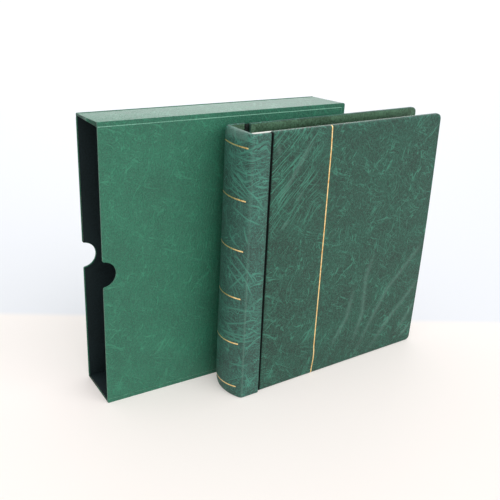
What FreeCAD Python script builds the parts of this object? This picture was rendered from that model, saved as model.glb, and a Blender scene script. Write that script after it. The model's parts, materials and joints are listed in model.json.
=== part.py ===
import FreeCAD, Part
import math
import os

from FreeCAD import Placement, Rotation, Vector

# Padded stamp album standing beside its slipcase, all sizes in millimetres.
# The album stands on its lower edges with its spine towards -X and its front cover towards -Y.

# Leaves: card pages on linen hinges, each with a slotted guard that hangs on the binder's pegs
leaf_height = 297.0
leaf_width = 235.0
leaf_thickness = 0.4
leaf_pitch = 1.36
turning_leaf_count = 8
still_leaf_count = 10
hinge_bead_radius = 0.35
hinge_ease = 0.55
hinge_reach = 13.0
hinge_step = 1.3
guard_inset = 4.0
guard_thickness = 1.0
guard_gap = 0.2
cover_leaf_gap = 0.9
spare_leaf_room = 13.6

# Padded covers: board and foam wrapped in leatherette, with a pasted endpaper inside
head_square = 7.0
foot_square = 11.0
fore_square = 4.9
leather = 0.9
padding = 1.8
cover_board = 2.4
endpaper = 0.4
turn_in = 14.0
cover_setback = 2.5
fore_corner_radius = 6.5
hinge_corner_radius = 1.5
outer_edge_round = 2.5
inner_edge_bevel = 0.6
foam_bevel = 0.8

# Spine case: a rounded back and two stiff side strips under one skin
strip_width = 23.2
strip_board = 2.6
lining = 0.9
spine_bulge = 10.0
fold_gap = 1.6

# Hinge grooves between the side strips and the covers
groove_width = 3.9
groove_top = 1.4
groove_depth = 4.3
groove_wall = 0.5
groove_floor = 0.9
groove_clearance = 0.2

# Binder: two rails, flat pegs and a turn bar that locks the peg tips
rail_back = 7.0
rail_front = 9.0
rail_inset = 5.0
front_rail_thickness = 4.8
rear_rail_thickness = 2.5
rail_corner_bevel = 1.0
peg_count = 4
peg_pitch = 75.0
peg_x = 12.0
peg_thickness = 2.4
peg_height = 6.0
peg_tip_bevel = 0.8
peg_tip_wall = 0.6
peg_seat_clearance = 0.05
peg_slot_clearance = 0.3
bar_radius = 1.5
bar_bite = 0.7
bar_clearance = 0.1
bar_release = 0.2
bar_flat_margin = 1.0
bar_foot_wall = 3.0
bar_stand = 0.5
lever_lift = 0.6
lever_thickness = 2.4
lever_reach = 12.5
lever_width = 4.0
lever_hub_radius = 2.2
lever_bore_clearance = 0.02
lever_pin_radius = 0.5
rivet_count = 2
rivet_pitch = 150.0
rivet_offset = 5.5
rivet_radius = 1.6
rivet_clearance = 0.05

# Slipcase: two covered side panels with a covered band between them on three sides
case_board = 1.6
case_skin = 0.6
case_lining = 0.3
case_band_recess = 0.5
case_side_room = 2.65
case_head_room = 1.5
case_end_room = 15.6
case_edge_bevel = 0.8
case_mouth_radius = 1.2
case_corner_radius = 2.5
notch_radius = 15.0
notch_wrap = 0.6
lining_mouth_inset = 1.0
case_end_x = 170.9
case_stand_gap = 5.3
case_yaw = -2.24

# Sizes that follow from the ones above
leaf_count = turning_leaf_count + still_leaf_count
cover_height = foot_square + leaf_height + head_square
cover_thickness = 2 * leather + padding + cover_board
strip_layer = leather + strip_board + lining
cover_inner_y = cover_setback + cover_thickness
leaf_start_y = max(strip_layer + front_rail_thickness + guard_gap, cover_inner_y + cover_leaf_gap)
leaf_end_y = leaf_start_y + (leaf_count - 1) * leaf_pitch + guard_thickness
spine_width = leaf_end_y + spare_leaf_room + rear_rail_thickness + strip_layer
half_spine = spine_width / 2
spine_radius = (half_spine ** 2 + spine_bulge ** 2) / (2 * spine_bulge)
spine_centre_x = spine_radius - spine_bulge
cover_x = strip_width + groove_width
leaf_top = foot_square + leaf_height
leaf_hinge_x = cover_x + hinge_reach
leaf_fore_x = leaf_hinge_x + leaf_width
cover_fore_x = leaf_fore_x + fore_square
rail_bottom = foot_square + rail_inset
rail_top = leaf_top - rail_inset
front_rail_y = strip_layer + front_rail_thickness
rear_rail_y = spine_width - strip_layer - rear_rail_thickness
bar_x = peg_x - peg_thickness / 2 + bar_bite - bar_radius
bar_y = strip_layer + front_rail_thickness / 2
bar_bottom = rail_bottom + bar_foot_wall
lever_bottom = leaf_top + lever_lift
lever_top = lever_bottom + lever_thickness
cover_hinge_x = strip_width + groove_width / 2
case_wall = case_board + case_skin
album_length = cover_fore_x + spine_bulge
case_length = album_length + case_end_room + case_lining + case_wall + case_band_recess
case_depth = spine_width + 2 * (case_side_room + case_lining + case_wall)
case_height = cover_height + case_head_room + 2 * (case_lining + case_wall + case_band_recess)

# Margin by which cutting tools pass the faces that they cut
overcut = 1.0


def plate(x0, x1, y0, y1, z0, z1):
    return Part.makeBox(x1 - x0, y1 - y0, z1 - z0, Vector(x0, y0, z0))


def solid_of(edges, sweep):
    wire = Part.Wire(Part.__sortEdges__(edges))
    return Part.Face(wire).extrude(sweep)


def mirrored(shape):
    return shape.mirror(Vector(0, half_spine, 0), Vector(0, 1, 0))


def centred_places(count, pitch, middle):
    return [middle + (index - (count - 1) / 2) * pitch for index in range(count)]


def edges_on(shape, axis, place):
    tolerance = 1e-6
    return [
        edge
        for edge in shape.Edges
        if all(abs(getattr(vertex.Point, axis) - place) < tolerance for vertex in edge.Vertexes)
    ]


def rounded_panel(x0, x1, z0, z1, y0, y1, back_radius, fore_radius):
    """Upright panel with rounded corners, its thickness along Y."""
    corners = [
        (x0, z0, 1, 1, back_radius),
        (x1, z0, -1, 1, fore_radius),
        (x1, z1, -1, -1, fore_radius),
        (x0, z1, 1, -1, back_radius),
    ]
    diagonal = 1 - math.sqrt(0.5)
    ends = []
    edges = []
    for x, z, inward_x, inward_z, radius in corners:
        beside = Vector(x + inward_x * radius, y0, z)
        above = Vector(x, y0, z + inward_z * radius)
        bend = Vector(x + inward_x * radius * diagonal, y0, z + inward_z * radius * diagonal)
        first, last = (above, beside) if inward_x == inward_z else (beside, above)
        edges.append(Part.Arc(first, bend, last).toShape())
        ends.append((first, last))
    for index, (first, last) in enumerate(ends):
        following = ends[(index + 1) % len(ends)][0]
        edges.append(Part.LineSegment(last, following).toShape())
    return solid_of(edges, Vector(0, y1 - y0, 0))


def cover_pieces():
    """Front cover, from its leatherette outside to the endpaper inside."""
    outer_y = cover_setback
    padding_y = outer_y + leather
    board_y = padding_y + padding
    board_end_y = board_y + cover_board

    def panel(inset, y0, y1):
        return rounded_panel(
            cover_x + inset, cover_fore_x - inset, inset, cover_height - inset, y0, y1,
            max(hinge_corner_radius - inset, inner_edge_bevel),
            max(fore_corner_radius - inset, inner_edge_bevel))

    body = panel(0, outer_y, cover_inner_y)
    body = body.makeFillet(outer_edge_round, edges_on(body, "y", outer_y))
    body = body.makeChamfer(inner_edge_bevel, edges_on(body, "y", cover_inner_y))
    foam = panel(leather, padding_y, board_y)
    foam = foam.makeChamfer(foam_bevel, edges_on(foam, "y", padding_y))
    board = panel(leather, board_y, board_end_y)
    sheet = panel(turn_in, board_end_y, board_end_y + endpaper)
    window = panel(turn_in, board_end_y, cover_inner_y + overcut)
    skin = body.cut([foam, board, window])
    return {"leather": skin, "padding": foam, "board": board, "endpaper": sheet}


def fold_x(depth):
    """Where the spine's curve meets a side strip, at a depth below the outer skin."""
    return spine_centre_x - math.sqrt((spine_radius - depth) ** 2 - (half_spine - depth) ** 2)


def case_layer(depth, end_depth, end_x, z0, z1):
    """Layer of the spine case between two depths: front strip, rounded back and rear strip."""
    edges = []
    for level in (depth, end_depth):
        front = Vector(fold_x(level), level, z0)
        back = Vector(level - spine_bulge, half_spine, z0)
        rear = Vector(fold_x(level), spine_width - level, z0)
        front_end = Vector(end_x, level, z0)
        rear_end = Vector(end_x, spine_width - level, z0)
        edges.append(Part.LineSegment(front_end, front).toShape())
        edges.append(Part.Arc(front, back, rear).toShape())
        edges.append(Part.LineSegment(rear, rear_end).toShape())
    for side in (1, -1):
        outer = half_spine + side * (half_spine - depth)
        inner = half_spine + side * (half_spine - end_depth)
        edges.append(Part.LineSegment(Vector(end_x, outer, z0), Vector(end_x, inner, z0)).toShape())
    return solid_of(edges, Vector(0, 0, z1 - z0))


def rivet(head_y, tail_y, z, clearance):
    start = Vector(peg_x + rivet_offset, min(head_y, tail_y), z)
    return Part.makeCylinder(rivet_radius + clearance, abs(tail_y - head_y), start, Vector(0, 1, 0))


def rivets(clearance):
    places = centred_places(rivet_count, rivet_pitch, foot_square + leaf_height / 2)
    front = [rivet(front_rail_y, leather, z, clearance) for z in places]
    rear = [rivet(rear_rail_y, spine_width - leather, z, clearance) for z in places]
    return front + rear


def spine_case_pieces():
    """Boards, lining and the one skin that wraps the spine and both side strips."""
    board_depth = leather + strip_board
    board_end_x = strip_width - leather
    middle = case_layer(leather, board_depth, board_end_x, leather, cover_height - leather)
    reach = spine_bulge + strip_width
    back_end_x = fold_x(leather) - fold_gap / 2
    strip_x = fold_x(board_depth) + fold_gap / 2
    back_zone = plate(-reach, back_end_x, -overcut, spine_width + overcut, 0, cover_height)
    front_zone = plate(strip_x, reach, -overcut, half_spine, 0, cover_height)
    rear_zone = plate(strip_x, reach, half_spine, spine_width + overcut, 0, cover_height)
    back_board = middle.common(back_zone)
    front_board = middle.common(front_zone)
    rear_board = middle.common(rear_zone)
    sheet = case_layer(board_depth, strip_layer, board_end_x, turn_in, cover_height - turn_in)
    body = case_layer(0, strip_layer, strip_width, 0, cover_height)
    skin = body.cut([back_board, front_board, rear_board, sheet])
    holes = rivets(rivet_clearance)
    return {
        "spine_leather": skin,
        "spine_board": back_board,
        "front_strip_board": front_board.cut(holes),
        "rear_strip_board": rear_board.cut(holes),
        "spine_lining": sheet.cut(holes),
    }


def groove_leather():
    """Front hinge groove: a trough of leatherette between the side strip and the cover."""
    end_x = cover_x - groove_clearance
    middle_x = (strip_width + end_x) / 2
    radius = (end_x - strip_width) / 2 - groove_wall
    floor_y = groove_top + groove_depth - groove_floor
    trough = plate(strip_width, end_x, groove_top, groove_top + groove_depth, 0, cover_height)
    hollow = plate(
        middle_x - radius, middle_x + radius, groove_top - overcut, floor_y - radius,
        -overcut, cover_height + overcut)
    bottom = Part.makeCylinder(
        radius, cover_height + 2 * overcut, Vector(middle_x, floor_y - radius, -overcut))
    return trough.cut(hollow.fuse(bottom))


def peg_heights():
    return centred_places(peg_count, peg_pitch, foot_square + leaf_height / 2)


def peg_blank(z, y0, y1, clearance):
    half_width = peg_thickness / 2 + clearance
    half_height = peg_height / 2 + clearance
    return plate(peg_x - half_width, peg_x + half_width, y0, y1, z - half_height, z + half_height)


def bar_bore(radius, z0, z1):
    return Part.makeCylinder(radius, z1 - z0, Vector(bar_x, bar_y, z0))


def pegs():
    """Flat pegs, rounded at the tip and notched where the turn bar locks them."""
    shapes = []
    notch = bar_bore(bar_radius + bar_clearance, rail_bottom, rail_top)
    tip_y = strip_layer + peg_tip_wall
    for z in peg_heights():
        peg = peg_blank(z, tip_y, spine_width - strip_layer, 0)
        tip_edges = [
            edge for edge in edges_on(peg, "y", tip_y)
            if abs(edge.Vertexes[0].Point.z - edge.Vertexes[1].Point.z) < overcut / 10
        ]
        shapes.append(peg.makeChamfer(peg_tip_bevel, tip_edges).cut(notch))
    return shapes


def rail(y0, y1):
    bar = plate(peg_x - rail_back, peg_x + rail_front, y0, y1, rail_bottom, rail_top)
    upright = [edge for edge in bar.Edges if abs(edge.tangentAt(edge.FirstParameter).y) > 0.5]
    return bar.makeChamfer(rail_corner_bevel, upright)


def binder_pieces():
    holes = rivets(rivet_clearance)
    tip_y = strip_layer + peg_tip_wall
    tip_seats = [
        peg_blank(z, tip_y - peg_seat_clearance, front_rail_y + overcut, peg_seat_clearance)
        for z in peg_heights()
    ]
    root_seats = [
        peg_blank(z, rear_rail_y - overcut, spine_width - strip_layer + overcut, peg_seat_clearance)
        for z in peg_heights()
    ]
    bore = bar_bore(bar_radius + bar_clearance, bar_bottom, rail_top + overcut)
    front = rail(strip_layer, front_rail_y).cut([bore] + tip_seats + holes)
    rear = rail(rear_rail_y, spine_width - strip_layer).cut(root_seats + holes)
    return {
        "front_rail": front,
        "rear_rail": rear,
        "binding_pegs": Part.makeCompound(pegs()),
        "rail_rivets": Part.makeCompound(rivets(0)),
    }


def turn_bar_pieces():
    """Turn bar with a flat beside every peg, and the lever pinned to its top."""
    pin_z = (lever_bottom + lever_top) / 2
    pin = Part.makeCylinder(
        lever_pin_radius, 2 * lever_hub_radius, Vector(bar_x, bar_y - lever_hub_radius, pin_z),
        Vector(0, 1, 0))
    bar = bar_bore(bar_radius, bar_bottom, lever_top + bar_stand)
    flat = bar_radius - bar_bite - bar_release
    half_flat = peg_height / 2 + bar_flat_margin
    flats = [
        plate(bar_x - 2 * bar_radius, bar_x + 2 * bar_radius, bar_y - 2 * bar_radius, bar_y - flat,
              z - half_flat, z + half_flat)
        for z in peg_heights()
    ]
    hub = bar_bore(lever_hub_radius, lever_bottom, lever_top)
    tip_x = bar_x + lever_reach - lever_width / 2
    arm = plate(bar_x, tip_x, bar_y - lever_width / 2, bar_y + lever_width / 2, lever_bottom, lever_top)
    tip = Part.makeCylinder(lever_width / 2, lever_thickness, Vector(tip_x, bar_y, lever_bottom))
    eye = bar_bore(bar_radius + lever_bore_clearance, lever_bottom - overcut, lever_top + overcut)
    lever = hub.fuse([arm, tip]).removeSplitter().cut([eye, pin])
    return {"turn_bar": bar.cut(flats + [pin]), "turn_lever": lever, "lever_pin": pin}


def leaf_y(index):
    return leaf_start_y + guard_thickness / 2 + index * leaf_pitch


def hinge_x(index):
    """Hinge lines step towards the fore-edge, so that turned leaves fan out without crossing."""
    return leaf_hinge_x + min(index, turning_leaf_count - 1) * hinge_step


def guard_end_x(index):
    return hinge_x(index) - hinge_bead_radius - hinge_ease


def leaf_guards():
    guards = []
    slots = [
        peg_blank(z, leaf_start_y - overcut, leaf_end_y + overcut, peg_slot_clearance)
        for z in peg_heights()
    ]
    for index in range(leaf_count):
        front_y = leaf_y(index) - guard_thickness / 2
        card = plate(
            guard_inset, guard_end_x(index), front_y, front_y + guard_thickness, foot_square, leaf_top)
        guards.append(card.cut(slots))
    return Part.makeCompound(guards)


def page(index, x0):
    y = leaf_y(index)
    return plate(x0, leaf_fore_x, y - leaf_thickness / 2, y + leaf_thickness / 2, foot_square, leaf_top)


def turning_leaf(index):
    """Page with a round linen bead along its hinge line."""
    bead = Part.makeCylinder(
        hinge_bead_radius, leaf_height, Vector(hinge_x(index), leaf_y(index), foot_square))
    return page(index, hinge_x(index)).fuse(bead).removeSplitter()


def still_leaves():
    first = turning_leaf_count
    return Part.makeCompound([page(index, guard_end_x(index)) for index in range(first, leaf_count)])


def in_place(shape):
    """Slipcase coordinates (mouth at x = 0, front face at y = 0) to its place behind the album."""
    moved = shape.copy()
    corner = Vector(case_end_x, spine_width - cover_setback + case_stand_gap, 0)
    to_corner = Placement(Vector(-case_length, 0, 0), Rotation())
    moved.Placement = Placement(corner, Rotation(Vector(0, 0, 1), case_yaw)).multiply(to_corner)
    return moved


def thumb_notch(radius):
    return Part.makeCylinder(
        radius, case_depth + 2 * overcut, Vector(0, -overcut, case_height / 2), Vector(0, 1, 0))


def case_panel_pieces():
    """Front side panel: a notched board under a skin that wraps its edges."""
    body = rounded_panel(
        0, case_length, 0, case_height, 0, case_wall, case_mouth_radius, case_corner_radius)
    body = body.makeChamfer(case_edge_bevel, edges_on(body, "y", 0))
    board = plate(case_skin, case_length - case_skin, case_skin, case_wall, 0, case_height - case_skin)
    board = board.common(body).cut(thumb_notch(notch_radius + notch_wrap))
    skin = body.cut(thumb_notch(notch_radius)).cut(board)
    return board, skin


def case_pieces():
    panel_board, panel_skin = case_panel_pieces()

    def far_side(shape):
        return shape.mirror(Vector(0, case_depth / 2, 0), Vector(0, 1, 0))

    inner_y = case_wall
    far_y = case_depth - case_wall
    band_end = case_length - case_band_recess
    band_low = case_band_recess
    band_high = case_height - case_band_recess
    board_end = band_end - case_skin
    low_end = band_low + case_wall
    high_start = band_high - case_wall
    top_board = plate(case_skin, board_end, inner_y, far_y, high_start, band_high - case_skin)
    bottom_board = plate(case_skin, board_end, inner_y, far_y, band_low + case_skin, low_end)
    end_board = plate(band_end - case_wall, board_end, inner_y, far_y, low_end, high_start)
    cavity = plate(-overcut, band_end - case_wall, inner_y, far_y, low_end, high_start)
    band = plate(0, band_end, inner_y, far_y, band_low, band_high)
    band_skin = band.cut([cavity, top_board, bottom_board, end_board])
    liner = plate(lining_mouth_inset, band_end - case_wall, inner_y, far_y, low_end, high_start)
    hollow = plate(
        0, band_end - case_wall - case_lining, inner_y + case_lining, far_y - case_lining,
        low_end + case_lining, high_start - case_lining)
    liner = liner.cut(hollow).cut(thumb_notch(notch_radius + notch_wrap))
    local = {
        "case_front_board": panel_board,
        "case_front_leather": panel_skin,
        "case_back_board": far_side(panel_board),
        "case_back_leather": far_side(panel_skin),
        "case_top_board": top_board,
        "case_bottom_board": bottom_board,
        "case_end_board": end_board,
        "case_band_leather": band_skin,
        "case_lining": liner,
    }
    return {name: in_place(shape) for name, shape in local.items()}


def album_set():
    nodes = {}
    for part, shape in cover_pieces().items():
        nodes["front_" + part] = shape
        nodes["back_" + part] = mirrored(shape)
    nodes.update(spine_case_pieces())
    nodes["front_groove"] = groove_leather()
    nodes["rear_groove"] = mirrored(nodes["front_groove"])
    nodes.update(binder_pieces())
    nodes.update(turn_bar_pieces())
    nodes["leaf_guards"] = leaf_guards()
    nodes["still_leaves"] = still_leaves()
    for index in range(turning_leaf_count):
        nodes["leaf_%d" % (index + 1)] = turning_leaf(index)
    nodes.update(case_pieces())
    return nodes


def footprint_centre(nodes):
    """Middle of the set's footprint on the table, which is the model's origin."""
    box = Part.makeCompound(list(nodes.values())).BoundBox
    return Vector(box.Center.x, box.Center.y, 0)


def main():
    nodes = album_set()
    origin = footprint_centre(nodes)
    os.makedirs("parts", exist_ok=True)
    for name, shape in nodes.items():
        placed = shape.copy()
        placed.translate(-origin)
        placed.exportStep("parts/" + name + ".step")


if __name__ == "__main__":
    main()
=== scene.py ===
"""Looks of a padded stamp album and its slipcase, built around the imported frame.

Shapes are worked out in millimetres in the album's own frame: the origin is the foot of the front
spine fold, X runs to the fore-edge, Y from the front cover to the back cover, and Z up.
"""

import json
import math

import bmesh
import bpy
import numpy as np
from mathutils import Matrix, Vector, noise


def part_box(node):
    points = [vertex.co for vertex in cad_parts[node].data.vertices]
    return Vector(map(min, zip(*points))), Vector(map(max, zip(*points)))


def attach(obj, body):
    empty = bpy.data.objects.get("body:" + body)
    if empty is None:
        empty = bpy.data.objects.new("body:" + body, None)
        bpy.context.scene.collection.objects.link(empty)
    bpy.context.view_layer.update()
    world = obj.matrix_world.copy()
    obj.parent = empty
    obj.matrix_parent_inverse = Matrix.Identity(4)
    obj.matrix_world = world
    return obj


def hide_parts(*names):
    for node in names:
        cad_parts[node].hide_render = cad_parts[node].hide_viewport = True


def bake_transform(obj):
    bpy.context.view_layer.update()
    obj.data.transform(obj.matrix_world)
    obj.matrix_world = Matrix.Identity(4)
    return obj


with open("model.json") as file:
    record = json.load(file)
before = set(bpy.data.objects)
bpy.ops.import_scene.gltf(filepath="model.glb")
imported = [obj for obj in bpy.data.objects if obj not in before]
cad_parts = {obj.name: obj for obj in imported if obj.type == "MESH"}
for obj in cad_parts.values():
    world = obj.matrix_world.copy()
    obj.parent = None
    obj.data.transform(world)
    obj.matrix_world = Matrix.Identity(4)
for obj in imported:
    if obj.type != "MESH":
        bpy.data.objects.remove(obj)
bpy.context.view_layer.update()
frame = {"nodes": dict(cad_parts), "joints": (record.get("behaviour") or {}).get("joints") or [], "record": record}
nodes = frame["nodes"]
MM = 0.001

# Album sizes, read from the frame's boxes where they show them
spine_low, spine_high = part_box("spine_leather")
cover_low, cover_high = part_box("front_leather")
STRIP_WIDTH = 23.2
ORIGIN = Vector((spine_high.x - STRIP_WIDTH * MM, spine_low.y, 0))
SPINE_WIDTH = (spine_high.y - spine_low.y) / MM
SPINE_BULGE = (ORIGIN.x - spine_low.x) / MM
HEIGHT = spine_high.z / MM
HINGE_INSET = 0.6
COVER_START = (cover_low.x - ORIGIN.x) / MM + HINGE_INSET
COVER_LENGTH = (cover_high.x - ORIGIN.x) / MM - COVER_START
COVER_SETBACK = (cover_low.y - ORIGIN.y) / MM
COVER_THICKNESS = (cover_high.y - cover_low.y) / MM
HALF_SPINE = SPINE_WIDTH / 2

# Leatherette cover: rounded outer edge, bevelled inner edge, and the turn-in round the endpaper
EDGE_ROUND = 2.5
INNER_BEVEL = 0.6
TURN_IN = 14.0
LEATHER = 0.9
HINGE_CORNER = 1.5
FORE_CORNER = 6.5
COVER_STEP = 1.25
PADDED_CROWN = 1.0
CROWN_REACH = 30
FORE_EDGE_REACH = 1.5
FORE_EDGE_BOW = 2.6

# Printed frame on a leaf: left, foot, right and head
PAGE_FRAME = (66.0, 24.0, 264.0, 295.0)

# Spine case
CASE_THICKNESS = 4.4
FOLD_RADIUS = 6.0
STRIP_EDGE_ROUND = 1.6
STRIP_REACH = 0.7
STRIP_FOOT_REACH = 0.9
STRIP_FOOT_HEIGHT = 150
SPINE_CORNER = 1.2
SPINE_STEP = 0.9
LINING_DEPTH = 3.5
LINING_SINK = 0.06
LINING_CORNER = 0.3

# Gold foil lines
FOIL_WIDTH = 1.5
FOIL_RISE = 0.05
BAND_PITCH = 57.0
BAND_COUNT = 6
BAND_START = 6.0
BAND_SLANT = 4.0
BAND_POINTS = 61
COVER_LINE = 79.2
# Place across a foil line and share of its rise
FOIL_PROFILE = [(-0.5, 0.4), (-0.25, 1.0), (0.25, 1.0), (0.5, 0.4)]
# Sideways shift of the cover's line, and the heights from which and to which it grows
LINE_KINKS = [(0.9, 40, 30), (-1.1, 22, 4)]

# Slipcase, in its own frame with the mouth at x = 0 and the front face at y = 0
CASE_LENGTH = 308.6
CASE_DEPTH = 64.32
CASE_HEIGHT = 322.5
CASE_WALL = 2.2
CASE_BAND_RECESS = 0.5
CASE_YAW = math.radians(-2.24)
CASE_END = (170.9, 56.82)
NOTCH_RADIUS = 15.0


# Meshes

def to_frame(points):
    """Album millimetres to metres in the shared frame."""
    return np.asarray(points, float) * MM + np.array(ORIGIN)


def case_to_album(points):
    """Slipcase millimetres to album millimetres."""
    points = np.asarray(points, float)
    x = points[:, 0] - CASE_LENGTH
    y = points[:, 1]
    turned_x = x * math.cos(CASE_YAW) - y * math.sin(CASE_YAW)
    turned_y = x * math.sin(CASE_YAW) + y * math.cos(CASE_YAW)
    return np.stack([turned_x + CASE_END[0], turned_y + CASE_END[1], points[:, 2]], 1)


def mesh_object(name, points, faces, uv, materials, face_material=None, smooth=True):
    """New object from album millimetres, with a UV map in millimetres for the grain to follow."""
    mesh = bpy.data.meshes.new(name)
    mesh.from_pydata(to_frame(points).tolist(), [], [[int(v) for v in face] for face in faces])
    layer = mesh.uv_layers.new(name="skin")
    corners = np.zeros(len(mesh.loops), int)
    mesh.loops.foreach_get("vertex_index", corners)
    layer.uv.foreach_set("vector", np.asarray(uv, np.float32)[corners].ravel())
    for material in materials:
        mesh.materials.append(material)
    if face_material is not None:
        mesh.polygons.foreach_set("material_index", np.asarray(face_material, np.int32))
    mesh.polygons.foreach_set("use_smooth", [smooth] * len(mesh.polygons))
    mesh.validate()
    made = bpy.data.objects.new(name, mesh)
    bpy.context.scene.collection.objects.link(made)
    return made


TURNED_OVER = [0, 3, 2, 1]


def grid_faces(number):
    """Quads between the rows and columns of a grid of point numbers."""
    return np.stack(
        [number[:-1, :-1], number[:-1, 1:], number[1:, 1:], number[1:, :-1]], -1).reshape(-1, 4)


def tube_faces(count, levels):
    """Faces of a loop of points that is carried through some levels, with both ends closed."""
    faces = []
    for low in range(0, (levels - 1) * count, count):
        for index in range(count):
            after = (index + 1) % count
            faces.append((low + index, low + after, low + count + after, low + count + index))
    faces.append(tuple(range(count))[::-1])
    faces.append(tuple(range((levels - 1) * count, levels * count)))
    return faces


def round_corners(x, z, inset, length, height, start_radius, end_radius):
    """Points of a plain rectangle moved onto one with rounded corners."""
    x = x.copy()
    z = z.copy()
    for side, radius in ((-1, start_radius), (1, end_radius)):
        radius = max(radius - inset, 0.2)
        centre_x = inset + radius if side < 0 else length - inset - radius
        for end in (-1, 1):
            centre_z = inset + radius if end < 0 else height - inset - radius
            a = side * (x - centre_x) / radius
            b = end * (z - centre_z) / radius
            inside = (a > 0) & (b > 0)
            arc_x = centre_x + side * radius * a * np.sqrt(np.maximum(1 - b * b / 2, 0))
            arc_z = centre_z + end * radius * b * np.sqrt(np.maximum(1 - a * a / 2, 0))
            x = np.where(inside, arc_x, x)
            z = np.where(inside, arc_z, z)
    return x, z


def wrapped_panel(length, height, start_radius, end_radius, rim, step, curved=False):
    """Fine grid over a panel's face, then rings round its edges that follow rim, a list of (inset, depth).

    The last ring is closed by one face, or by a second grid where the panel is going to be curved.
    Returns points as (along, up, depth), faces, the UV map and each face's ring number.
    """
    columns = round(length / step)
    rows = round(height / step)
    share_x, share_z = np.meshgrid(np.linspace(0, 1, columns + 1), np.linspace(0, 1, rows + 1))

    def outline(across, up, inset):
        x = inset + across * (length - 2 * inset)
        z = inset + up * (height - 2 * inset)
        return round_corners(x, z, inset, length, height, start_radius, end_radius)

    face_inset, face_depth = rim[0]
    x, z = outline(share_x.ravel(), share_z.ravel(), face_inset)
    points = [np.stack([x, z, np.full_like(x, face_depth)], 1)]
    uv = [np.stack([x, z], 1)]
    number = np.arange(x.size).reshape(share_x.shape)
    faces = grid_faces(number).tolist()
    rings = [0] * len(faces)
    loop = np.concatenate([number[0, :-1], number[:-1, -1], number[-1, :0:-1], number[:0:-1, 0]])
    loop_x = share_x.ravel()[loop]
    loop_z = share_z.ravel()[loop]
    face_edge = uv[0][loop]
    outward = np.stack(outline(loop_x, loop_z, 0.0), 1) - face_edge
    outward /= np.maximum(np.linalg.norm(outward, axis=1), 1e-6)[:, None]
    before = loop
    travelled = 0.0
    count = x.size
    for ring, (inset, depth) in enumerate(rim[1:], 1):
        last_inset, last_depth = rim[ring - 1]
        travelled += math.hypot(inset - last_inset, depth - last_depth)
        x, z = outline(loop_x, loop_z, inset)
        points.append(np.stack([x, z, np.full_like(x, depth)], 1))
        uv.append(face_edge + outward * travelled)
        after = count + np.arange(loop.size)
        count += loop.size
        quads = np.stack([np.roll(before, -1), before, after, np.roll(after, -1)], 1)
        faces += quads.tolist()
        rings += [ring] * len(quads)
        before = after
    if curved:
        inside = np.ones(number.size, bool)
        inside[loop] = False
        back = np.empty(number.size, int)
        back[loop] = before
        back[inside] = count + np.arange(inside.sum())
        x, z = outline(share_x.ravel()[inside], share_z.ravel()[inside], rim[-1][0])
        points.append(np.stack([x, z, np.full_like(x, rim[-1][1])], 1))
        uv.append(np.stack([x, z], 1))
        closing = grid_faces(back.reshape(number.shape))[:, TURNED_OVER]
    else:
        closing = before[::-1][None, :]
    faces += closing.tolist()
    rings += [len(rim)] * len(closing)
    return np.concatenate(points), faces, np.concatenate(uv), np.array(rings)


def rounded_rim(radius, thickness, bevel, turn_in, step_down):
    """(inset, depth) steps over a rounded outer edge, a bevelled inner edge and the turned-in border."""
    turns = [math.radians(angle) for angle in range(0, 91, 15)]
    rim = [(radius * (1 - math.sin(t)), radius * (1 - math.cos(t))) for t in turns]
    rim += [(0.0, thickness - bevel), (bevel * 0.3, thickness - bevel * 0.3), (bevel, thickness)]
    rim += [(turn_in, thickness), (turn_in, thickness - step_down)]
    return rim


def smooth_step(low, high, value):
    t = np.clip((value - low) / (high - low), 0, 1)
    return t * t * (3 - 2 * t)


def gentle_noise(u, v, size, seed):
    """Smooth noise over a surface, about -1 to 1, alike in every run."""
    return np.array([noise.noise((a / size, b / size, seed)) for a, b in zip(u, v)])


def ripples(u, v, waves):
    """Slight waviness in millimetres, summed from the rise, size and seed of each wave."""
    return sum(rise * gentle_noise(u, v, size, seed) for rise, size, seed in waves)


def tapered(share, ends):
    """Strength along a line: 1 about its middle, down to a share of that at its ends."""
    return np.clip(4 * share * (1 - share) + ends, 0, 1)


def distance_to_line(x, z, line):
    """Distance of each point to a polyline, and how far along it the nearest place is, 0 to 1."""
    best = np.full(x.shape, 1e9)
    share = np.zeros(x.shape)
    count = len(line) - 1
    for index, ((x0, z0), (x1, z1)) in enumerate(zip(line[:-1], line[1:])):
        run_x = x1 - x0
        run_z = z1 - z0
        t = np.clip(((x - x0) * run_x + (z - z0) * run_z) / (run_x ** 2 + run_z ** 2), 0, 1)
        gap = np.hypot(x - x0 - t * run_x, z - z0 - t * run_z)
        share = np.where(gap < best, (index + t) / count, share)
        best = np.minimum(best, gap)
    return best, share


# Shader nodes

def srgb(red, green, blue):
    """Colour as seen on a screen, 0 to 255, to the linear value that a shader takes."""
    def linear(level):
        level /= 255
        return level / 12.92 if level <= 0.04045 else ((level + 0.055) / 1.055) ** 2.4
    return linear(red), linear(green), linear(blue), 1.0


class Value:
    """A shader socket that takes part in Python sums."""

    def __init__(self, finish, socket):
        self.finish = finish
        self.socket = socket

    def math(self, operation, first, second=0.0):
        return self.finish.node("ShaderNodeMath", {"operation": operation}, {0: first, 1: second})

    def __add__(self, other):
        return self.math("ADD", self, other)

    def __sub__(self, other):
        return self.math("SUBTRACT", self, other)

    def __mul__(self, other):
        return self.math("MULTIPLY", self, other)

    def __radd__(self, other):
        return self.math("ADD", other, self)

    def __rsub__(self, other):
        return self.math("SUBTRACT", other, self)

    def __abs__(self):
        return self.math("ABSOLUTE", self)

    def larger(self, other):
        return self.math("MAXIMUM", self, other)


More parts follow.
